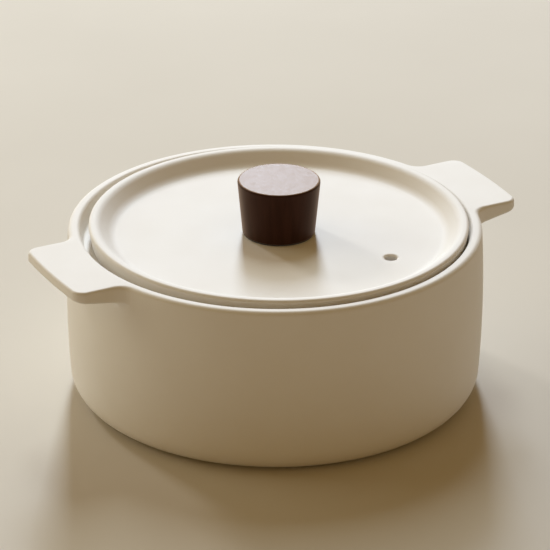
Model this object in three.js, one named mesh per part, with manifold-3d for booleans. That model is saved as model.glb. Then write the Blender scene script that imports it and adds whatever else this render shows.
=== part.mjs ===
// Lidded earthenware pot with two ear handles. The lid's wooden knob is screwed on from below.
// Millimetres, +Z up, origin at the middle of the base, handles along X.
import * as THREE from 'three';
import { mergeVertices } from 'three/addons/utils/BufferGeometryUtils.js';
import Module from 'manifold-3d';

const wasm = await Module();
wasm.setup();

// Pot body
const POT_HEIGHT = 93.4;
const POT_RADIUS = 111.2;
const WALL_LEAN = 1.2;
const WALL_THICKNESS = 7;
const FLOOR_THICKNESS = 8;
const BASE_ROUND = 14;
const FLOOR_ROUND = 12;
const FOOT_WIDTH = 12;
const FOOT_RECESS = 1.2;

// Rim and the ledge that carries the lid
const RIM_WIDTH = 5.8;
const RIM_OUTER_ROUND = 2.5;
const RIM_INNER_ROUND = 2;
const GALLERY_DEPTH = 8.6;
const GALLERY_DRAFT = 2.4;
const LEDGE_WIDTH = 6.6;
const LEDGE_THICKNESS = 5;
const LEDGE_ROUND = 1.5;

// Ear handles
const HANDLE_REACH = 22.6;
const HANDLE_WIDTH = 64.2;
const HANDLE_CORNER = 6.7;
const HANDLE_FILLET = 9;
const HANDLE_TIP_CROWN = 1;
const HANDLE_ROOT_THICKNESS = 9.5;
const HANDLE_TIP_THICKNESS = 5.5;
const HANDLE_EDGE = 1.6;

// Lid
const LID_CLEARANCE = 2.5;
const LID_DRAFT = 1.9;
const LID_BORDER_HEIGHT = 10.65;
const LID_LIP_WIDTH = 1.3;
const LID_LIP_ROUND = 1.6;
const LID_FOOT_ROUND = 1.2;
const LID_DISH_DEPTH = 6.95;
const LID_SLOPE_DEG = 45;
const LID_CREST_ROUND = 5.5;
const LID_SLOPE_ROUND = 7;
const LID_PLATE_THICKNESS = 5.5;
const SPIGOT_EXTRA_CLEARANCE = 0.4;
const SPIGOT_CHAMFER = 1;
const VENT_DIAMETER = 6.6;
const VENT_DISTANCE = 66.8;
const VENT_ANGLE_DEG = -56.5;

// Where the loose lid has come to rest, as a share of its play
const LID_SHIFT_SHARE = 0.76;
const LID_SHIFT_ANGLE_DEG = -28;

// Knob
const KNOB_HEIGHT = 29.6;
const KNOB_TOP_RADIUS = 22.1;
const KNOB_BASE_RADIUS = 19.3;
const KNOB_TOP_ROUND = 1.2;
const KNOB_BASE_ROUND = 0.8;
const KNOB_BORE_SPARE_DEPTH = 8;

// Knob fixings
const SCREW_RADIUS = 2.5;
const SCREW_TIP_CHAMFER = 0.6;
const SCREW_HEAD_RADIUS = 4.75;
const SCREW_HEAD_HEIGHT = 2.75;
const SCREW_HEAD_ROUND = 1.6;
const SCREW_SOCKET_ACROSS_FLATS = 3;
const SCREW_SOCKET_DEPTH = 1.5;
const INSERT_LENGTH = 14;
const INSERT_WALL = 1.9;
const GASKET_INSET = 0.4;
const GASKET_THICKNESS = 0.6;
const LID_WASHER_RADIUS = 10;
const LID_WASHER_THICKNESS = 1.5;
const SCREW_WASHER_RADIUS = 7.5;
const SCREW_WASHER_THICKNESS = 1;

// Clearances, and how far a cutting shape runs past what it cuts
const SEAT_GAP = 0.3;
const STACK_GAP = 0.1;
const THREAD_CLEARANCE = 0.15;
const INSERT_CLEARANCE = 0.15;
const LID_HOLE_CLEARANCE = 0.7;
const WASHER_HOLE_CLEARANCE = 0.3;
const CUT_OVERSHOOT = 1;

// Smoothness of the facets
const BODY_SIDES = 64;
const KNOB_SIDES = 48;
const FIXING_SIDES = 24;
const SOCKET_SIDES = 6;
const CURVE_STEPS = 2;
const HANDLE_EDGE_STEPS = 2;

// Radii and heights that follow from the sizes above
const rimRadius = POT_RADIUS - WALL_LEAN;
const galleryTopRadius = rimRadius - RIM_WIDTH;
const galleryRadius = galleryTopRadius - GALLERY_DRAFT;
const mouthRadius = galleryRadius - LEDGE_WIDTH;
const ledgeHeight = POT_HEIGHT - GALLERY_DEPTH;
const lidFootRadius = galleryRadius - LID_CLEARANCE;
const lidSeatHeight = ledgeHeight + SEAT_GAP;
const lidCrestHeight = lidSeatHeight + LID_BORDER_HEIGHT;
const lidTopHeight = lidCrestHeight - LID_DISH_DEPTH;
const lidUndersideHeight = lidTopHeight - LID_PLATE_THICKNESS;
const gasketHeight = lidTopHeight + STACK_GAP;
const knobHeight = gasketHeight + GASKET_THICKNESS + STACK_GAP;
const lidWasherTop = lidUndersideHeight - STACK_GAP;
const screwWasherTop = lidWasherTop - LID_WASHER_THICKNESS - STACK_GAP;
const screwHeadTop = screwWasherTop - SCREW_WASHER_THICKNESS - STACK_GAP;
const insertBoreRadius = SCREW_RADIUS + THREAD_CLEARANCE;
const insertRadius = insertBoreRadius + INSERT_WALL;
const lidHoleRadius = SCREW_RADIUS + LID_HOLE_CLEARANCE;
const washerHoleRadius = SCREW_RADIUS + WASHER_HOLE_CLEARANCE;

const earthenware = { color: 0xefebe2, roughness: 0.55, metalness: 0 };
const darkWood = { color: 0x2f1c14, roughness: 0.4, metalness: 0 };
const brass = { color: 0xb08d4a, roughness: 0.35, metalness: 1 };
const silicone = { color: 0x2a2522, roughness: 0.7, metalness: 0 };
const stainless = { color: 0xb9bcc0, roughness: 0.3, metalness: 1 };

function named(name, geometry, finish) {
  const mesh = new THREE.Mesh(geometry, new THREE.MeshStandardMaterial(finish));
  mesh.name = name;
  return mesh;
}

// One shared vertex per corner, without the flat triangles that a lathe leaves on its axis
function welded(geometry) {
  geometry.deleteAttribute('normal');
  geometry.deleteAttribute('uv');
  const merged = mergeVertices(geometry);
  const corners = merged.index.array;
  const kept = [];
  for (let i = 0; i < corners.length; i += 3) {
    const [a, b, c] = corners.slice(i, i + 3);
    if (a !== b && b !== c && c !== a) kept.push(a, b, c);
  }
  merged.setIndex(kept);
  return merged;
}

// An outline of radius and height, drawn anticlockwise, turned about Z
function turned(outline, sides) {
  const points = outline.getPoints(CURVE_STEPS);
  return welded(new THREE.LatheGeometry(points, sides).rotateX(Math.PI / 2));
}

function ring(innerRadius, outerRadius, bottom, top, sides) {
  const outline = new THREE.Path();
  outline.moveTo(innerRadius, bottom);
  outline.lineTo(outerRadius, bottom);
  outline.lineTo(outerRadius, top);
  outline.lineTo(innerRadius, top);
  outline.lineTo(innerRadius, bottom);
  return turned(outline, sides);
}

// An upright prism from one height to another
function upright(radius, bottom, top, sides) {
  const prism = new THREE.CylinderGeometry(radius, radius, top - bottom, sides);
  return welded(prism.rotateX(Math.PI / 2).translate(0, 0, (bottom + top) / 2));
}

function toSolid(geometry) {
  return new wasm.Manifold(new wasm.Mesh({
    numProp: 3,
    vertProperties: geometry.attributes.position.array,
    triVerts: Uint32Array.from(geometry.index.array),
  }));
}

function toGeometry(solid) {
  const mesh = solid.getMesh();
  const geometry = new THREE.BufferGeometry();
  geometry.setAttribute('position', new THREE.BufferAttribute(mesh.vertProperties, 3));
  geometry.setIndex(new THREE.BufferAttribute(mesh.triVerts, 1));
  return geometry;
}

// Each wall is a shallow curve, whose control point lies twice as far out as its middle
function bodyOutline() {
  const controlLean = 2 * WALL_LEAN;
  const footRadius = rimRadius - BASE_ROUND;
  const insideRadius = rimRadius - WALL_THICKNESS;
  const wallTop = POT_HEIGHT - RIM_OUTER_ROUND;
  const wallMiddle = (wallTop + BASE_ROUND) / 2;
  const undersideEdge = ledgeHeight - LEDGE_THICKNESS;
  const undersideRoot = undersideEdge - (insideRadius - mouthRadius);
  const floorCorner = FLOOR_THICKNESS + FLOOR_ROUND;
  const outline = new THREE.Path();
  outline.moveTo(0, FOOT_RECESS);
  outline.lineTo(footRadius - FOOT_WIDTH - FOOT_RECESS, FOOT_RECESS);
  outline.lineTo(footRadius - FOOT_WIDTH, 0);
  outline.lineTo(footRadius, 0);
  outline.absarc(footRadius, BASE_ROUND, BASE_ROUND, -Math.PI / 2, 0, false);
  outline.quadraticCurveTo(rimRadius + controlLean, wallMiddle, rimRadius, wallTop);
  outline.absarc(rimRadius - RIM_OUTER_ROUND, wallTop, RIM_OUTER_ROUND, 0, Math.PI / 2, false);
  outline.absarc(
    galleryTopRadius + RIM_INNER_ROUND, POT_HEIGHT - RIM_INNER_ROUND, RIM_INNER_ROUND,
    Math.PI / 2, Math.PI, false);
  outline.lineTo(galleryRadius, ledgeHeight);
  outline.absarc(
    mouthRadius + LEDGE_ROUND, ledgeHeight - LEDGE_ROUND, LEDGE_ROUND, Math.PI / 2, Math.PI, false);
  outline.lineTo(mouthRadius, undersideEdge);
  outline.lineTo(insideRadius, undersideRoot);
  outline.quadraticCurveTo(
    insideRadius + controlLean, (undersideRoot + floorCorner) / 2, insideRadius, floorCorner);
  outline.absarc(insideRadius - FLOOR_ROUND, floorCorner, FLOOR_ROUND, 0, -Math.PI / 2, true);
  outline.lineTo(0, FLOOR_THICKNESS);
  return outline;
}

// Plan of the handle on +X: a tab with rounded corners, filleted into the wall
function handlePlan() {
  const half = HANDLE_WIDTH / 2;
  const tip = rimRadius + HANDLE_REACH;
  const cornerX = tip - HANDLE_TIP_CROWN - HANDLE_CORNER;
  const cornerY = half - HANDLE_CORNER;
  const filletY = half + HANDLE_FILLET;
  const filletX = Math.sqrt((rimRadius + HANDLE_FILLET) ** 2 - filletY ** 2);
  const filletAngle = Math.atan2(filletY, filletX);
  const rootRadius = rimRadius - WALL_THICKNESS / 2;
  const plan = new THREE.Shape();
  plan.absarc(filletX, -filletY, HANDLE_FILLET, Math.PI - filletAngle, Math.PI / 2, true);
  plan.absarc(cornerX, -cornerY, HANDLE_CORNER, -Math.PI / 2, 0, false);
  plan.quadraticCurveTo(tip + HANDLE_TIP_CROWN, 0, cornerX + HANDLE_CORNER, cornerY);
  plan.absarc(cornerX, cornerY, HANDLE_CORNER, 0, Math.PI / 2, false);
  plan.absarc(filletX, filletY, HANDLE_FILLET, -Math.PI / 2, filletAngle - Math.PI, true);
  plan.absarc(0, 0, rootRadius, filletAngle, -filletAngle, true);
  return plan;
}

// The handle's top is level with the rim, and its underside rises from the root to the tip
function handle() {
  const flatDepth = HANDLE_ROOT_THICKNESS - 2 * HANDLE_EDGE;
  const slab = new THREE.ExtrudeGeometry(handlePlan(), {
    depth: flatDepth,
    curveSegments: CURVE_STEPS,
    bevelThickness: HANDLE_EDGE,
    bevelSize: HANDLE_EDGE,
    bevelOffset: -HANDLE_EDGE,
    bevelSegments: HANDLE_EDGE_STEPS,
  });
  const corners = slab.attributes.position;
  for (let i = 0; i < corners.count; i += 1) {
    const alongHandle = THREE.MathUtils.clamp((corners.getX(i) - rimRadius) / HANDLE_REACH, 0, 1);
    const rise = (HANDLE_ROOT_THICKNESS - HANDLE_TIP_THICKNESS) * alongHandle;
    if (corners.getZ(i) < flatDepth / 2) corners.setZ(i, corners.getZ(i) + rise);
  }
  return welded(slab.translate(0, 0, POT_HEIGHT - flatDepth - HANDLE_EDGE));
}

function potBody() {
  const rightHandle = toSolid(handle());
  const leftHandle = toSolid(handle().rotateZ(Math.PI));
  const bowl = toSolid(turned(bodyOutline(), BODY_SIDES));
  return toGeometry(bowl.add(rightHandle).add(leftHandle));
}

function lidOutline() {
  const spigotRadius = mouthRadius - LID_CLEARANCE - SPIGOT_EXTRA_CLEARANCE;
  const lipRadius = lidFootRadius + LID_DRAFT;
  const lipInside = lipRadius - LID_LIP_ROUND - LID_LIP_WIDTH;
  const slope = THREE.MathUtils.degToRad(LID_SLOPE_DEG);
  const bothRounds = LID_CREST_ROUND + LID_SLOPE_ROUND;
  const straightDrop = LID_DISH_DEPTH - bothRounds * (1 - Math.cos(slope));
  const slopeRun = bothRounds * Math.sin(slope) + straightDrop / Math.tan(slope);
  const flatRadius = lipInside - slopeRun;
  const outline = new THREE.Path();
  outline.moveTo(lidHoleRadius, lidUndersideHeight);
  outline.lineTo(spigotRadius - SPIGOT_CHAMFER, lidUndersideHeight);
  outline.lineTo(spigotRadius, lidSeatHeight);
  outline.absarc(
    lidFootRadius - LID_FOOT_ROUND, lidSeatHeight + LID_FOOT_ROUND, LID_FOOT_ROUND, -Math.PI / 2, 0, false);
  outline.absarc(
    lipRadius - LID_LIP_ROUND, lidCrestHeight - LID_LIP_ROUND, LID_LIP_ROUND, 0, Math.PI / 2, false);
  outline.absarc(
    lipInside, lidCrestHeight - LID_CREST_ROUND, LID_CREST_ROUND, Math.PI / 2, Math.PI / 2 + slope, false);
  outline.absarc(
    flatRadius, lidTopHeight + LID_SLOPE_ROUND, LID_SLOPE_ROUND, slope - Math.PI / 2, -Math.PI / 2, true);
  outline.lineTo(lidHoleRadius, lidTopHeight);
  outline.lineTo(lidHoleRadius, lidUndersideHeight);
  return outline;
}

function lid() {
  const ventAngle = THREE.MathUtils.degToRad(VENT_ANGLE_DEG);
  const ventBottom = lidUndersideHeight - CUT_OVERSHOOT;
  const vent = upright(VENT_DIAMETER / 2, ventBottom, lidTopHeight + CUT_OVERSHOOT, FIXING_SIDES);
  vent.translate(VENT_DISTANCE * Math.cos(ventAngle), VENT_DISTANCE * Math.sin(ventAngle), 0);
  return toGeometry(toSolid(turned(lidOutline(), BODY_SIDES)).subtract(toSolid(vent)));
}

function knob() {
  const top = knobHeight + KNOB_HEIGHT;
  const boreRadius = insertRadius + INSERT_CLEARANCE;
  const boreEnd = knobHeight + INSERT_LENGTH + KNOB_BORE_SPARE_DEPTH;
  const outline = new THREE.Path();
  outline.moveTo(0, boreEnd);
  outline.lineTo(boreRadius, boreEnd);
  outline.lineTo(boreRadius, knobHeight);
  outline.absarc(
    KNOB_BASE_RADIUS - KNOB_BASE_ROUND, knobHeight + KNOB_BASE_ROUND, KNOB_BASE_ROUND,
    -Math.PI / 2, 0, false);
  outline.absarc(
    KNOB_TOP_RADIUS - KNOB_TOP_ROUND, top - KNOB_TOP_ROUND, KNOB_TOP_ROUND, 0, Math.PI / 2, false);
  outline.lineTo(0, top);
  return turned(outline, KNOB_SIDES);
}

function knobInsert() {
  return ring(insertBoreRadius, insertRadius, knobHeight, knobHeight + INSERT_LENGTH, FIXING_SIDES);
}

function knobGasket() {
  const outside = KNOB_BASE_RADIUS - GASKET_INSET;
  return ring(lidHoleRadius, outside, gasketHeight, gasketHeight + GASKET_THICKNESS, KNOB_SIDES);
}

function lidWasher() {
  const bottom = lidWasherTop - LID_WASHER_THICKNESS;
  return ring(washerHoleRadius, LID_WASHER_RADIUS, bottom, lidWasherTop, FIXING_SIDES);
}

function screwWasher() {
  const bottom = screwWasherTop - SCREW_WASHER_THICKNESS;
  return ring(washerHoleRadius, SCREW_WASHER_RADIUS, bottom, screwWasherTop, FIXING_SIDES);
}

// The thread is a plain shank that ends level with the insert
function knobScrew() {
  const headBottom = screwHeadTop - SCREW_HEAD_HEIGHT;
  const tip = knobHeight + INSERT_LENGTH;
  const outline = new THREE.Path();
  outline.moveTo(0, headBottom);
  outline.lineTo(SCREW_HEAD_RADIUS - SCREW_HEAD_ROUND, headBottom);
  outline.absarc(
    SCREW_HEAD_RADIUS - SCREW_HEAD_ROUND, headBottom + SCREW_HEAD_ROUND, SCREW_HEAD_ROUND,
    -Math.PI / 2, 0, false);
  outline.lineTo(SCREW_HEAD_RADIUS, screwHeadTop);
  outline.lineTo(SCREW_RADIUS, screwHeadTop);
  outline.lineTo(SCREW_RADIUS, tip - SCREW_TIP_CHAMFER);
  outline.lineTo(SCREW_RADIUS - SCREW_TIP_CHAMFER, tip);
  outline.lineTo(0, tip);
  const socketRadius = SCREW_SOCKET_ACROSS_FLATS / Math.sqrt(3);
  const socketTop = headBottom + SCREW_SOCKET_DEPTH;
  const socket = upright(socketRadius, headBottom - CUT_OVERSHOOT, socketTop, SOCKET_SIDES);
  return toGeometry(toSolid(turned(outline, FIXING_SIDES)).subtract(toSolid(socket)));
}

const lidShift = LID_SHIFT_SHARE * LID_CLEARANCE;
const lidShiftAngle = THREE.MathUtils.degToRad(LID_SHIFT_ANGLE_DEG);
const lidGroup = new THREE.Group();
lidGroup.position.set(lidShift * Math.cos(lidShiftAngle), lidShift * Math.sin(lidShiftAngle), 0);
lidGroup.add(
  named('lid', lid(), earthenware),
  named('knob', knob(), darkWood),
  named('knob_insert', knobInsert(), brass),
  named('knob_gasket', knobGasket(), silicone),
  named('lid_washer', lidWasher(), silicone),
  named('screw_washer', screwWasher(), stainless),
  named('knob_screw', knobScrew(), stainless),
);

const pot = new THREE.Group();
pot.add(named('pot_body', potBody(), earthenware), lidGroup);

export default pot;
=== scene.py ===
import math

import bmesh
import bpy
from mathutils import Matrix, Vector


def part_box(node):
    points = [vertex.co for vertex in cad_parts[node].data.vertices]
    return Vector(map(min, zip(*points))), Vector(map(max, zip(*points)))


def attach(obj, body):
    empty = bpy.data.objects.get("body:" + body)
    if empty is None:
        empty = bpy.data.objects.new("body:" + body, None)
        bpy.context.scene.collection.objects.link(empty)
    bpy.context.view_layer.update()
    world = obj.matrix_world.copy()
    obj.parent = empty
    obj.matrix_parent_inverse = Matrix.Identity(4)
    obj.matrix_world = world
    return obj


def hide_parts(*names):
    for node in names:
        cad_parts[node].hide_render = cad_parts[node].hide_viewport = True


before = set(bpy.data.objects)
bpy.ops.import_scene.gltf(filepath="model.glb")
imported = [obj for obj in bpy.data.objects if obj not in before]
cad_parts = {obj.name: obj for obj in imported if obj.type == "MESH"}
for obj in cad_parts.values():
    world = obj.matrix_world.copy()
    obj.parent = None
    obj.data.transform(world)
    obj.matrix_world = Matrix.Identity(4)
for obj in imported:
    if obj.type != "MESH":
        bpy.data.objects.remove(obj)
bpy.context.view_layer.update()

MM = 0.001

# Sizes that the frame gives
pot_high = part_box("pot_body")[1]
lid_low, lid_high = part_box("lid")
knob_low, knob_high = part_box("knob")
gasket_low, gasket_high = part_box("knob_gasket")
lid_washer_low, lid_washer_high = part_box("lid_washer")
screw_washer_low, screw_washer_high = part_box("screw_washer")
screw_low, screw_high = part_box("knob_screw")
lid_axis = ((lid_low + lid_high) / 2).to_2d()
RIM_HEIGHT = pot_high.z
HANDLE_TIP = pot_high.x

# Pot body
WALL_SWELL = 1.2 * MM
RIM_RADIUS = pot_high.y - WALL_SWELL
WALL_THICKNESS = 7 * MM
FLOOR_THICKNESS = 8 * MM
BASE_ROUND = 14 * MM
FLOOR_ROUND = 12 * MM
FOOT_WIDTH = 12 * MM
FOOT_RECESS = 1.2 * MM
FOOT_EDGE_ROUND = 1 * MM
BARE_FOOT_HEIGHT = 0.05 * MM

# Rim and the ledge that carries the lid
RIM_WIDTH = 5.8 * MM
RIM_OUTER_ROUND = 2.5 * MM
RIM_INNER_ROUND = 2 * MM
GALLERY_DEPTH = 8.6 * MM
GALLERY_DRAFT = 2.4 * MM
GALLERY_CORNER = 1 * MM
LEDGE_WIDTH = 6.6 * MM
LEDGE_THICKNESS = 5 * MM
LEDGE_ROUND = 1.5 * MM
LEDGE_ROOT_ROUND = 4 * MM

# Ear handles
HANDLE_WIDTH = 64.2 * MM
HANDLE_CORNER = 6.7 * MM
HANDLE_FILLET = 9 * MM
HANDLE_TIP_CROWN = 1 * MM
HANDLE_ROOT_THICKNESS = 9.5 * MM
HANDLE_TIP_THICKNESS = 5.5 * MM
HANDLE_EDGE = 1.6 * MM
HANDLE_ROOT_ROUND = 5 * MM
ROOT_ROUND_SHARE = 0.8
HANDLE_BLEND = 8 * MM
LOWER_EASE_SHARE = 1 / 3
HANDLE_LOW = RIM_HEIGHT - HANDLE_ROOT_THICKNESS - HANDLE_ROOT_ROUND

# Lid
LID_DRAFT = 1.9 * MM
LID_SEAT_ABOVE_UNDERSIDE = 1.8 * MM
LID_LIP_WIDTH = 1.3 * MM
LID_LIP_ROUND = 1.6 * MM
LID_FOOT_ROUND = 1.2 * MM
LID_DISH_DEPTH = 6.95 * MM
LID_SLOPE = math.radians(45)
LID_CREST_ROUND = 5.5 * MM
LID_SLOPE_ROUND = 7 * MM
LID_HOLE_RADIUS = 3.2 * MM
SPIGOT_RADIUS = 92.3 * MM
SPIGOT_CHAMFER = 1 * MM
SPIGOT_ROOT_ROUND = SPIGOT_CHAMFER / 2
VENT_RADIUS = 3.3 * MM
VENT_EDGE = 1.5 * MM
VENT_DISTANCE = 66.8 * MM
VENT_ANGLE = math.radians(-56.5)

# Knob and its fixings
KNOB_BASE_RADIUS = 19.3 * MM
KNOB_TOP_ROUND = 1.2 * MM
# Depth of the knob's top faces, which get end grain with a painted sheen
KNOB_PAINTED_SHEEN_DEPTH = 0.3 * MM
KNOB_BASE_ROUND = 0.8 * MM
KNOB_BORE_RADIUS = 4.7 * MM
KNOB_BORE_DEPTH = 22 * MM
WASHER_HOLE_RADIUS = 2.8 * MM
WASHER_EDGE = 0.3 * MM
SCREW_RADIUS = 2.5 * MM
SCREW_HEAD_HEIGHT = 2.75 * MM
SCREW_HEAD_ROUND = 1.6 * MM
SCREW_EDGE = 0.3 * MM
SOCKET_SIDES = 6
SOCKET_WIDTH = 3 * MM
SOCKET_RADIUS = SOCKET_WIDTH / 2 / math.cos(math.pi / SOCKET_SIDES)
SOCKET_DEPTH = 1.5 * MM

# Fineness of the meshes
ROUND_STEPS = 8
WALL_STEPS = 14
ROOT_STEPS = 8
EDGE_STEPS = 6
TIP_STEPS = 12
CORNER_STEPS = 12
SIDE_STEPS = 10
FILLET_STEPS = 18
GAP_STEPS = 110
TURNED_SIDES = 256
SMALL_SIDES = 96
WELD = 0.0005 * MM


def shares(steps):
    """Even shares from 0 up to, but without, 1."""
    return [step / steps for step in range(steps)]


def rounded(corners):
    """An outline through corners (radius, height, round), with each corner eased by an arc of its round."""
    points = [corners[0][:2]]
    for before, corner, after in zip(corners, corners[1:], corners[2:]):
        here = Vector(corner[:2])
        if not corner[2]:
            points.append(here)
            continue
        back = (Vector(before[:2]) - here).normalized()
        ahead = (Vector(after[:2]) - here).normalized()
        half = back.angle(ahead) / 2
        centre = here + (back + ahead).normalized() * corner[2] / math.sin(half)
        start = (here + back * corner[2] / math.tan(half) - centre).normalized()
        end = (here + ahead * corner[2] / math.tan(half) - centre).normalized()
        for step in range(ROUND_STEPS + 1):
            points.append(centre + start.slerp(end, step / ROUND_STEPS).normalized() * corner[2])
    points.append(corners[-1][:2])
    return points


def spun(direction, radius, height):
    """The point at that radius and height, in a level direction from the axis."""
    return Vector((direction.x * radius, direction.y * radius, height))


def compass(angle):
    """The level direction at an angle from +X."""
    return Vector((math.cos(angle), math.sin(angle)))


def skin(name, columns):
    """A closed, smooth mesh through columns of points that follow each other round an axis."""
    shape = bmesh.new()
    rows = [[shape.verts.new(point) for point in column] for column in columns]
    for left, right in zip(rows, rows[1:] + rows[:1]):
        for corner_a, corner_b, corner_c, corner_d in zip(left, right, right[1:], left[1:]):
            shape.faces.new((corner_a, corner_b, corner_c, corner_d))
    bmesh.ops.remove_doubles(shape, verts=shape.verts, dist=WELD)
    bmesh.ops.recalc_face_normals(shape, faces=shape.faces)
    for face in shape.faces:
        face.smooth = True
    mesh = bpy.data.meshes.new(name)
    shape.to_mesh(mesh)
    shape.free()
    piece = bpy.data.objects.new(name, mesh)
    bpy.context.scene.collection.objects.link(piece)
    return piece


def turned(name, outline, axis, sides):
    """An outline of radius and height, turned about an upright axis."""
    centre = axis.to_3d()
    columns = []
    for share in shares(sides):
        direction = compass(share * math.tau)
        columns.append([centre + spun(direction, radius, height) for radius, height in outline])
    return skin(name, columns)


def cut(piece, cutter):
    """Takes the cutter's shape out of a piece, and removes the cutter."""
    modifier = piece.modifiers.new("Cut", "BOOLEAN")
    modifier.object = cutter
    modifier.solver = "EXACT"
    view = bpy.context.evaluated_depsgraph_get()
    whole = piece.data
    piece.data = bpy.data.meshes.new_from_object(piece.evaluated_get(view))
    piece.modifiers.clear()
    bpy.data.meshes.remove(whole)
    bpy.data.objects.remove(cutter)


def placed(piece, body, node, slot, *materials):
    """Finishes a piece that stands for a node: materials, even shading, and the body that it rides on."""
    for material in materials:
        piece.data.materials.append(material)
    piece.modifiers.new("Even shading", "WEIGHTED_NORMAL")
    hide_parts(node)
    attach(piece, body)
    return piece


# Materials

NOISE_LOW = 0.3
NOISE_HIGH = 0.7
LACQUER_TINT = (1, 0.72, 0.5, 1)


class Finish:
    """A procedural material: one shader, and the textures that feed it in the object's own coordinates."""

    def __init__(self, name):
        self.material = bpy.data.materials.new(name)
        self.material.use_nodes = True
        self.nodes = self.material.node_tree.nodes
        self.links = self.material.node_tree.links
        self.shader = self.nodes["Principled BSDF"]
        self.place = self.nodes.new("ShaderNodeTexCoord").outputs["Object"]

    def stretched(self, scale):
        """Coordinates multiplied by a scale along each axis."""
        mapping = self.nodes.new("ShaderNodeMapping")
        mapping.inputs["Scale"].default_value = scale
        self.links.new(self.place, mapping.inputs["Vector"])
        return mapping.outputs["Vector"]

    def noise(self, per_metre, detail, place=None):
        texture = self.nodes.new("ShaderNodeTexNoise")
        texture.inputs["Scale"].default_value = per_metre
        texture.inputs["Detail"].default_value = detail
        self.links.new(place or self.place, texture.inputs["Vector"])
        return texture.outputs["Fac"]

    def ramp(self, value, low_colour, high_colour):
        """Two colours, and what lies between them, over the usual range of a noise value."""
        ramp = self.nodes.new("ShaderNodeValToRGB")
        stops = ((NOISE_LOW, low_colour), (NOISE_HIGH, high_colour))
        for element, (place, colour) in zip(ramp.color_ramp.elements, stops):
            element.position = place
            element.color = (*colour, 1)
        self.links.new(value, ramp.inputs["Fac"])
        return ramp.outputs["Color"]

    def between(self, value, low, high):
        """The usual range of a noise value, spread from low to high."""
        spread = self.nodes.new("ShaderNodeMapRange")
        spread.inputs["From Min"].default_value = NOISE_LOW
        spread.inputs["From Max"].default_value = NOISE_HIGH
        spread.inputs["To Min"].default_value = low
        spread.inputs["To Max"].default_value = high
        self.links.new(value, spread.inputs["Value"])
        return spread.outputs["Result"]

    def bump(self, height, depth, strength, under=None):
        bump = self.nodes.new("ShaderNodeBump")
        bump.inputs["Distance"].default_value = depth
        bump.inputs["Strength"].default_value = strength
        self.links.new(height, bump.inputs["Height"])
        if under:
            self.links.new(under, bump.inputs["Normal"])
        return bump.outputs["Normal"]

    def feed(self, **sockets):
        """Links textures to shader sockets, whose names have _ for a space."""
        for name, source in sockets.items():
            self.links.new(source, self.shader.inputs[name.replace("_", " ")])

    def set(self, **sockets):
        """Sets shader sockets to constants."""
        for name, value in sockets.items():
            self.shader.inputs[name.replace("_", " ")].default_value = value


def glaze_material():
    glaze = Finish("Cream glaze")
    clouds = glaze.noise(per_metre=24, detail=4)
    sheen = glaze.noise(per_metre=60, detail=5)
    swell = glaze.noise(per_metre=150, detail=2)
    fine = glaze.noise(per_metre=900, detail=3)
    rippled = glaze.bump(swell, depth=0.03 * MM, strength=0.1)
    glaze.feed(
        Base_Color=glaze.ramp(clouds, (0.845, 0.81, 0.75), (0.865, 0.835, 0.78)),
        Roughness=glaze.between(sheen, low=0.65, high=0.68),
        Normal=glaze.bump(fine, depth=0.08 * MM, strength=0.2, under=rippled),
    )
    glaze.set(Specular_IOR_Level=0.24)
    return glaze.material


def clay_material():
    clay = Finish("Bare clay")
    grain = clay.noise(per_metre=1400, detail=4)
    clay.feed(
        Base_Color=clay.ramp(grain, (0.5, 0.39, 0.28), (0.66, 0.55, 0.42)),
        Roughness=clay.between(grain, low=0.8, high=0.95),
        Normal=clay.bump(grain, depth=0.2 * MM, strength=0.5),
    )
    return clay.material


def wood_material(name, dark, light, shine, sheen):
    """Stained wood whose grain runs upright, under a thin satin lacquer."""
    wood = Finish(name)
    streaks = wood.noise(per_metre=1, detail=5, place=wood.stretched((420, 420, 14)))
    pores = wood.noise(per_metre=1, detail=3, place=wood.stretched((1500, 1500, 60)))
    wood.feed(
        Base_Color=wood.ramp(streaks, dark, light),
        Roughness=wood.between(streaks, low=0.36, high=0.4),
        Normal=wood.bump(pores, depth=0.015 * MM, strength=0.12),
    )
    wood.set(Specular_IOR_Level=shine, Specular_Tint=LACQUER_TINT)
    wood.set(Sheen_Weight=sheen, Sheen_Roughness=0.4, Sheen_Tint=LACQUER_TINT)
    return wood.material


def silicone_material():
    silicone = Finish("Black silicone")
    mist = silicone.noise(per_metre=300, detail=3)
    fine = silicone.noise(per_metre=2500, detail=2)
    silicone.feed(
        Base_Color=silicone.ramp(mist, (0.018, 0.015, 0.013), (0.026, 0.022, 0.019)),
        Roughness=silicone.between(mist, low=0.5, high=0.65),
        Normal=silicone.bump(fine, depth=0.03 * MM, strength=0.2),
    )
    return silicone.material


def metal_material(name, stretch, detail, dark, light, smooth, rough):
    """Metal with fine tool marks, which change fastest along the axis that has the largest stretch."""
    metal = Finish(name)
    marks = metal.noise(per_metre=1, detail=detail, place=metal.stretched(stretch))
    metal.feed(
        Base_Color=metal.ramp(marks, dark, light),
        Roughness=metal.between(marks, smooth, rough),
        Normal=metal.bump(marks, depth=0.01 * MM, strength=0.2),
    )
    metal.set(Metallic=1)
    return metal.material


glaze = glaze_material()
clay = clay_material()
dark_wood = wood_material(
    "Dark stained wood", dark=(0.03, 0.0118, 0.0085), light=(0.044, 0.017, 0.0115), shine=0.05, sheen=0.5)
# The knob's top is end grain. Its lighter, warmer colour is a painted sheen that stands for the reflection
# of the light behind the pot on a dark knob
end_grain_painted_sheen = wood_material(
    "Stained end grain with painted sheen", dark=(0.19, 0.1, 0.036), light=(0.21, 0.115, 0.044), shine=0.054, sheen=0.85)
silicone = silicone_material()
stainless = metal_material(
    "Stainless steel", stretch=(300, 9000, 300), detail=4,
    dark=(0.5, 0.51, 0.52), light=(0.6, 0.61, 0.62), smooth=0.22, rough=0.38)
brass = metal_material(
    "Brass", stretch=(400, 400, 6000), detail=3,
    dark=(0.4, 0.24, 0.06), light=(0.5, 0.32, 0.09), smooth=0.25, rough=0.42)


# Pot body

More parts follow.
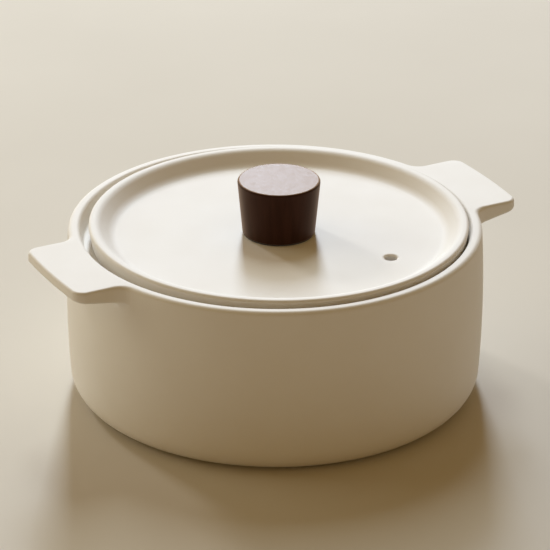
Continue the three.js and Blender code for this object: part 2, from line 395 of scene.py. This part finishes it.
def wall_radius(height):
    """The outside wall is as wide as the rim at both ends, and wider by its swell at half height."""
    share = (height - BASE_ROUND) / (RIM_HEIGHT - RIM_OUTER_ROUND - BASE_ROUND)
    return RIM_RADIUS + 4 * WALL_SWELL * share * (1 - share)


def wall_points(bottom, top, steps):
    """Points up the outside wall, from the bottom height to just below the top one."""
    heights = [bottom + (top - bottom) * share for share in shares(steps)]
    return [(wall_radius(height), height) for height in heights]


def base_outline():
    """From the middle of the underside, over the foot, up to where the handles begin."""
    foot = RIM_RADIUS - BASE_ROUND
    base = rounded([
        (0, FOOT_RECESS, 0),
        (foot - FOOT_WIDTH - FOOT_RECESS, FOOT_RECESS, FOOT_EDGE_ROUND),
        (foot - FOOT_WIDTH, 0, FOOT_EDGE_ROUND),
        (RIM_RADIUS, 0, BASE_ROUND),
        (RIM_RADIUS, BASE_ROUND, 0),
    ])
    return base[:-2] + wall_points(BASE_ROUND, HANDLE_LOW, WALL_STEPS)


def inside_outline():
    """From the top of the rim, over the ledge, down to the middle of the floor."""
    ledge = RIM_HEIGHT - GALLERY_DEPTH
    gallery_top = RIM_RADIUS - RIM_WIDTH
    gallery = gallery_top - GALLERY_DRAFT
    mouth = gallery - LEDGE_WIDTH
    inside = RIM_RADIUS - WALL_THICKNESS
    underside = ledge - LEDGE_THICKNESS
    floor_corner = FLOOR_THICKNESS + FLOOR_ROUND
    outline = rounded([
        (RIM_RADIUS - RIM_OUTER_ROUND, RIM_HEIGHT, 0),
        (gallery_top, RIM_HEIGHT, RIM_INNER_ROUND),
        (gallery, ledge, GALLERY_CORNER),
        (mouth, ledge, LEDGE_ROUND),
        (mouth, underside, LEDGE_ROUND),
        (inside, underside - inside + mouth, LEDGE_ROOT_ROUND),
        (inside + WALL_SWELL, (underside + floor_corner) / 2, FLOOR_ROUND),
        (inside, FLOOR_THICKNESS, FLOOR_ROUND),
        (0, FLOOR_THICKNESS, 0),
    ])
    return outline[1:]


def handle_half():
    """Half of the handle's plan, from the middle of its tip to where its fillet meets the rim."""
    half = HANDLE_WIDTH / 2
    corner = Vector((HANDLE_TIP - HANDLE_TIP_CROWN - HANDLE_CORNER, half - HANDLE_CORNER))
    fillet_y = half + HANDLE_FILLET
    fillet = Vector((math.sqrt((RIM_RADIUS + HANDLE_FILLET) ** 2 - fillet_y ** 2), fillet_y))
    sweep = math.pi / 2 - math.atan2(fillet.y, fillet.x)
    points = []
    for share in shares(TIP_STEPS):
        points.append(Vector((HANDLE_TIP - HANDLE_TIP_CROWN * share ** 2, corner.y * share)))
    for share in shares(CORNER_STEPS):
        points.append(corner + compass(math.pi / 2 * share) * HANDLE_CORNER)
    for share in shares(SIDE_STEPS):
        points.append(Vector((corner.x + (fillet.x - corner.x) * share, half)))
    for share in shares(FILLET_STEPS) + [1]:
        points.append(fillet + compass(-math.pi / 2 - sweep * share) * HANDLE_FILLET)
    return points


def pot_plan():
    """The pot's edge seen from above, once round, as points that start beside one handle."""
    half = handle_half()
    mirrored = [Vector((point.x, -point.y)) for point in reversed(half[1:])]
    start = math.atan2(half[-1].y, half[-1].x)
    gap = math.pi - 2 * start
    between = [compass(start + gap * share) * RIM_RADIUS for share in shares(GAP_STEPS)[1:]]
    side = mirrored + half + between
    return side + [-point for point in side]


def handle_underside(point):
    """The height of the underside, which rises evenly from the rim to the tip."""
    along = (abs(point.x) - RIM_RADIUS) / (HANDLE_TIP - RIM_RADIUS)
    thinning = (HANDLE_ROOT_THICKNESS - HANDLE_TIP_THICKNESS) * min(max(along, 0), 1)
    return RIM_HEIGHT - HANDLE_ROOT_THICKNESS + thinning


def quarter(steps):
    """Angles from 0 to a right angle."""
    return [math.pi / 2 * step / steps for step in range(steps + 1)]


def outside_section(edge, inward):
    """From the wall, out under the handle, round its edge to the top, at one point of the pot's plan."""
    direction = edge.normalized()
    reach = edge.length - RIM_RADIUS
    blend = min(reach / HANDLE_BLEND, 1)
    share = blend * blend * (3 - 2 * blend)
    upper_ease = RIM_OUTER_ROUND + (HANDLE_EDGE - RIM_OUTER_ROUND) * share
    lower_ease = min(HANDLE_EDGE, reach * LOWER_EASE_SHARE)
    across = direction * reach + inward * lower_ease
    rounding = HANDLE_ROOT_ROUND / max(across.length, HANDLE_ROOT_ROUND / ROOT_ROUND_SHARE)
    points = []
    for turn in quarter(ROOT_STEPS):
        out = across * rounding * (1 - math.cos(turn))
        underside = handle_underside(direction * RIM_RADIUS + out)
        height = HANDLE_LOW + (underside - HANDLE_LOW) * math.sin(turn)
        points.append((direction * wall_radius(height) + out, height))
    for turn in quarter(EDGE_STEPS):
        height = handle_underside(edge) + HANDLE_EDGE * (1 - math.cos(turn))
        out = direction * (wall_radius(height) + reach)
        points.append((out + inward * lower_ease * (1 - math.sin(turn)), height))
    for turn in quarter(EDGE_STEPS):
        height = RIM_HEIGHT - upper_ease * (1 - math.sin(turn))
        points.append((edge + inward * upper_ease * (1 - math.cos(turn)), height))
    return [Vector((at.x, at.y, height)) for at, height in points]


def pot_body():
    lower = base_outline()
    upper = inside_outline()
    plan = pot_plan()
    columns = []
    for before, edge, after in zip(plan[-1:] + plan, plan, plan[1:] + plan[:1]):
        direction = edge.normalized()
        along = (after - before).normalized()
        inward = Vector((-along.y, along.x))
        base = [spun(direction, *point) for point in lower]
        inside = [spun(direction, *point) for point in upper]
        columns.append(base + outside_section(edge, inward) + inside)
    piece = skin("pot_body_glazed", columns)
    for face in piece.data.polygons:
        face.material_index = int(face.center.z < BARE_FOOT_HEIGHT)
    return placed(piece, "pot", "pot_body", "glaze", glaze, clay)


# Lid

def lid_outline():
    crest = lid_high.z
    top = crest - LID_DISH_DEPTH
    underside = lid_low.z
    seat = underside + LID_SEAT_ABOVE_UNDERSIDE
    lip = (lid_high.x - lid_low.x) / 2
    slope_start = lip - LID_LIP_ROUND - LID_LIP_WIDTH - LID_CREST_ROUND * math.tan(LID_SLOPE / 2)
    slope_end = slope_start - LID_DISH_DEPTH / math.tan(LID_SLOPE)
    return rounded([
        (LID_HOLE_RADIUS, underside, 0),
        (SPIGOT_RADIUS - SPIGOT_CHAMFER, underside, SPIGOT_CHAMFER),
        (SPIGOT_RADIUS, seat, SPIGOT_ROOT_ROUND),
        (lip - LID_DRAFT, seat, LID_FOOT_ROUND),
        (lip, crest, LID_LIP_ROUND),
        (slope_start, crest, LID_CREST_ROUND),
        (slope_end, top, LID_SLOPE_ROUND),
        (LID_HOLE_RADIUS, top, 0),
        (LID_HOLE_RADIUS, underside, 0),
    ])


def vent_cutter():
    """A spool that is widest outside the lid, so that the vent's edges come out soft."""
    top = lid_high.z - LID_DISH_DEPTH
    bottom = lid_low.z
    wide = VENT_RADIUS + VENT_EDGE
    outline = rounded([
        (0, bottom - VENT_EDGE, 0),
        (wide + VENT_EDGE, bottom - VENT_EDGE, 0),
        (wide + VENT_EDGE, bottom, 0),
        (VENT_RADIUS, bottom, VENT_EDGE),
        (VENT_RADIUS, top, VENT_EDGE),
        (wide + VENT_EDGE, top, 0),
        (wide + VENT_EDGE, top + VENT_EDGE, 0),
        (0, top + VENT_EDGE, 0),
    ])
    return turned("vent_cutter", outline, lid_axis + compass(VENT_ANGLE) * VENT_DISTANCE, SMALL_SIDES)


def lid():
    piece = turned("lid_glazed", lid_outline(), lid_axis, TURNED_SIDES)
    cut(piece, vent_cutter())
    return placed(piece, "lid", "lid", "glaze", glaze)


# Knob and its fixings

def knob():
    bottom = knob_low.z
    top = knob_high.z
    radius = (knob_high.x - knob_low.x) / 2
    bore_end = bottom + KNOB_BORE_DEPTH
    outline = rounded([
        (0, bore_end, 0),
        (KNOB_BORE_RADIUS, bore_end, 0),
        (KNOB_BORE_RADIUS, bottom, 0),
        (KNOB_BASE_RADIUS, bottom, KNOB_BASE_ROUND),
        (radius, top, KNOB_TOP_ROUND),
        (0, top, 0),
    ])
    piece = turned("knob_turned", outline, lid_axis, TURNED_SIDES)
    # The top faces take the end grain, whose lighter colour is a painted sheen
    for face in piece.data.polygons:
        face.material_index = int(face.center.z > top - KNOB_PAINTED_SHEEN_DEPTH)
    return placed(piece, "lid", "knob", "dark_wood", dark_wood, end_grain_painted_sheen)


def washer(name, node, low, high, hole, slot, material):
    """A flat ring with softened edges, in the place of its node."""
    radius = (high.x - low.x) / 2
    outline = rounded([
        (hole, (low.z + high.z) / 2, 0),
        (hole, low.z, WASHER_EDGE),
        (radius, low.z, WASHER_EDGE),
        (radius, high.z, WASHER_EDGE),
        (hole, high.z, WASHER_EDGE),
        (hole, (low.z + high.z) / 2, 0),
    ])
    return placed(turned(name, outline, lid_axis, SMALL_SIDES), "lid", node, slot, material)


def knob_screw():
    head_top = screw_low.z + SCREW_HEAD_HEIGHT
    radius = (screw_high.x - screw_low.x) / 2
    outline = rounded([
        (0, screw_low.z, 0),
        (radius, screw_low.z, SCREW_HEAD_ROUND),
        (radius, head_top, SCREW_EDGE),
        (SCREW_RADIUS, head_top, 0),
        (SCREW_RADIUS, screw_high.z, SCREW_EDGE),
        (0, screw_high.z, 0),
    ])
    piece = turned("knob_screw_turned", outline, lid_axis, SMALL_SIDES)
    socket_outline = [
        (0, screw_low.z - SOCKET_DEPTH),
        (SOCKET_RADIUS, screw_low.z - SOCKET_DEPTH),
        (SOCKET_RADIUS, screw_low.z + SOCKET_DEPTH),
        (0, screw_low.z + SOCKET_DEPTH),
    ]
    cut(piece, turned("socket_cutter", socket_outline, lid_axis, SOCKET_SIDES))
    return placed(piece, "lid", "knob_screw", "stainless", stainless)


pot_body()
lid()
knob()
washer("knob_gasket_disc", "knob_gasket", gasket_low, gasket_high, LID_HOLE_RADIUS, "silicone", silicone)
washer(
    "lid_washer_ring", "lid_washer", lid_washer_low, lid_washer_high, WASHER_HOLE_RADIUS,
    "silicone", silicone)
washer(
    "screw_washer_ring", "screw_washer", screw_washer_low, screw_washer_high, WASHER_HOLE_RADIUS,
    "stainless", stainless)
knob_screw()

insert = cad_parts["knob_insert"]
insert.data.materials.clear()
insert.data.materials.append(brass)


# Floor

FLOOR_SIZE = 24


def floor():
    ground = Finish("Pale floor")
    clouds = ground.noise(per_metre=6, detail=3)
    shades = ground.ramp(clouds, (0.636, 0.589, 0.507), (0.66, 0.613, 0.53))
    ground.feed(Base_Color=shades)
    ground.set(Roughness=0.9, Specular_IOR_Level=0.2)
    mesh = bpy.data.meshes.new("floor")
    half = FLOOR_SIZE / 2
    corners = [(-half, -half, 0), (half, -half, 0), (half, half, 0), (-half, half, 0)]
    mesh.from_pydata(corners, [], [(0, 1, 2, 3)])
    mesh.materials.append(ground.material)
    plane = bpy.data.objects.new("floor", mesh)
    bpy.context.scene.collection.objects.link(plane)


floor()


# Light and camera

def aimed(thing, place, target):
    """Puts a lamp or camera at a place, looking at a target."""
    facing = (target - place).to_track_quat("-Z", "Y").to_matrix().to_4x4()
    thing.matrix_world = Matrix.Translation(place) @ facing
    bpy.context.scene.collection.objects.link(thing)


def from_pot(azimuth, elevation, distance, height):
    """A point seen from the pot's axis at that height: azimuth 0 is -Y, where the front view stands."""
    level = math.cos(elevation) * distance
    above = math.sin(elevation) * distance
    return Vector((math.sin(azimuth) * level, -math.cos(azimuth) * level, height + above))


CAMERA_AZIMUTH = math.radians(-28)
CAMERA_ELEVATION = math.radians(24.15)
CAMERA_DISTANCE = 2
CAMERA_AIM_BELOW_RIM = 29.92 * MM
CAMERA_ROLL = math.radians(0.22)
CAMERA_LENS = 246.5
CAMERA_SENSOR = 36
KEY_AZIMUTH = CAMERA_AZIMUTH + math.radians(181.5)
KEY_DISTANCE = 4
KEY_WIDTH = 0.5
KEY_ELEVATION = math.radians(28.5)
KEY_HEIGHT = 1.5
KEY_WATTS = 141
KEY_COLOUR = (0.72, 0.836, 1)
HIGH_ELEVATION = math.radians(52)
HIGH_HEIGHT = 1.7
HIGH_WATTS = 44
HIGH_COLOUR = (0.89, 0.98, 1)
BACK_AZIMUTH = CAMERA_AZIMUTH - math.radians(140)
BACK_SIZE = 0.5
BACK_WATTS = 30.5
BACK_COLOUR = (1, 1, 1)
LEFT_AZIMUTH = CAMERA_AZIMUTH - math.radians(105)
LEFT_ELEVATION = math.radians(20)
LEFT_DISTANCE = 1.6
LEFT_SIZE = 1
LEFT_WATTS = 5.3
LEFT_COLOUR = (1, 0.97, 0.78)
FILL_COLOUR = (0.245, 0.157, 0.058)
BACKDROP_COLOUR = (0.68, 0.62, 0.54)


def camera():
    eye = bpy.data.cameras.new("Camera")
    eye.sensor_width = CAMERA_SENSOR
    eye.lens = CAMERA_LENS
    viewer = bpy.data.objects.new("Camera", eye)
    place = from_pot(CAMERA_AZIMUTH, CAMERA_ELEVATION, CAMERA_DISTANCE, RIM_HEIGHT)
    aimed(viewer, place, Vector((0, 0, RIM_HEIGHT - CAMERA_AIM_BELOW_RIM)))
    viewer.matrix_world = viewer.matrix_world @ Matrix.Rotation(CAMERA_ROLL, 4, "Z")
    bpy.context.scene.camera = viewer


def soft_light(name, azimuth, elevation, distance, size, watts, colour):
    """A rectangular lamp of a width and height that faces the rim's middle."""
    lamp = bpy.data.lights.new(name, "AREA")
    lamp.shape = "RECTANGLE"
    lamp.size, lamp.size_y = size
    lamp.energy = watts
    lamp.color = colour
    place = from_pot(azimuth, elevation, distance, RIM_HEIGHT)
    aimed(bpy.data.objects.new(name, lamp), place, Vector((0, 0, RIM_HEIGHT)))


def lights():
    """Two tall lamps behind the pot, one higher up, and weak ones at its back left and its left."""
    key_size = (KEY_WIDTH, KEY_HEIGHT)
    high_size = (KEY_WIDTH, HIGH_HEIGHT)
    back_size = (BACK_SIZE, BACK_SIZE)
    left_size = (LEFT_SIZE, LEFT_SIZE)
    soft_light("Key", KEY_AZIMUTH, KEY_ELEVATION, KEY_DISTANCE, key_size, KEY_WATTS, KEY_COLOUR)
    soft_light("High", KEY_AZIMUTH, HIGH_ELEVATION, KEY_DISTANCE, high_size, HIGH_WATTS, HIGH_COLOUR)
    soft_light("Back", BACK_AZIMUTH, KEY_ELEVATION, KEY_DISTANCE, back_size, BACK_WATTS, BACK_COLOUR)
    soft_light("Left", LEFT_AZIMUTH, LEFT_ELEVATION, LEFT_DISTANCE, left_size, LEFT_WATTS, LEFT_COLOUR)


def surroundings():
    """Soft warm light from all round, and a pale backdrop that the camera and mirrors see."""
    world = bpy.data.worlds.new("Studio")
    world.use_nodes = True
    nodes = world.node_tree.nodes
    links = world.node_tree.links
    fill = nodes["Background"]
    fill.inputs["Color"].default_value = (*FILL_COLOUR, 1)
    backdrop = nodes.new("ShaderNodeBackground")
    backdrop.inputs["Color"].default_value = (*BACKDROP_COLOUR, 1)
    path = nodes.new("ShaderNodeLightPath")
    shown = path.outputs["Is Camera Ray"]
    for ray in ("Is Glossy Ray", "Is Transmission Ray"):
        either = nodes.new("ShaderNodeMath")
        either.operation = "MAXIMUM"
        links.new(shown, either.inputs[0])
        links.new(path.outputs[ray], either.inputs[1])
        shown = either.outputs["Value"]
    mix = nodes.new("ShaderNodeMixShader")
    links.new(shown, mix.inputs["Fac"])
    links.new(fill.outputs["Background"], mix.inputs[1])
    links.new(backdrop.outputs["Background"], mix.inputs[2])
    links.new(mix.outputs["Shader"], nodes["World Output"].inputs["Surface"])
    bpy.context.scene.world = world


camera()
lights()
surroundings()
bpy.context.scene.view_settings.view_transform = "Standard"
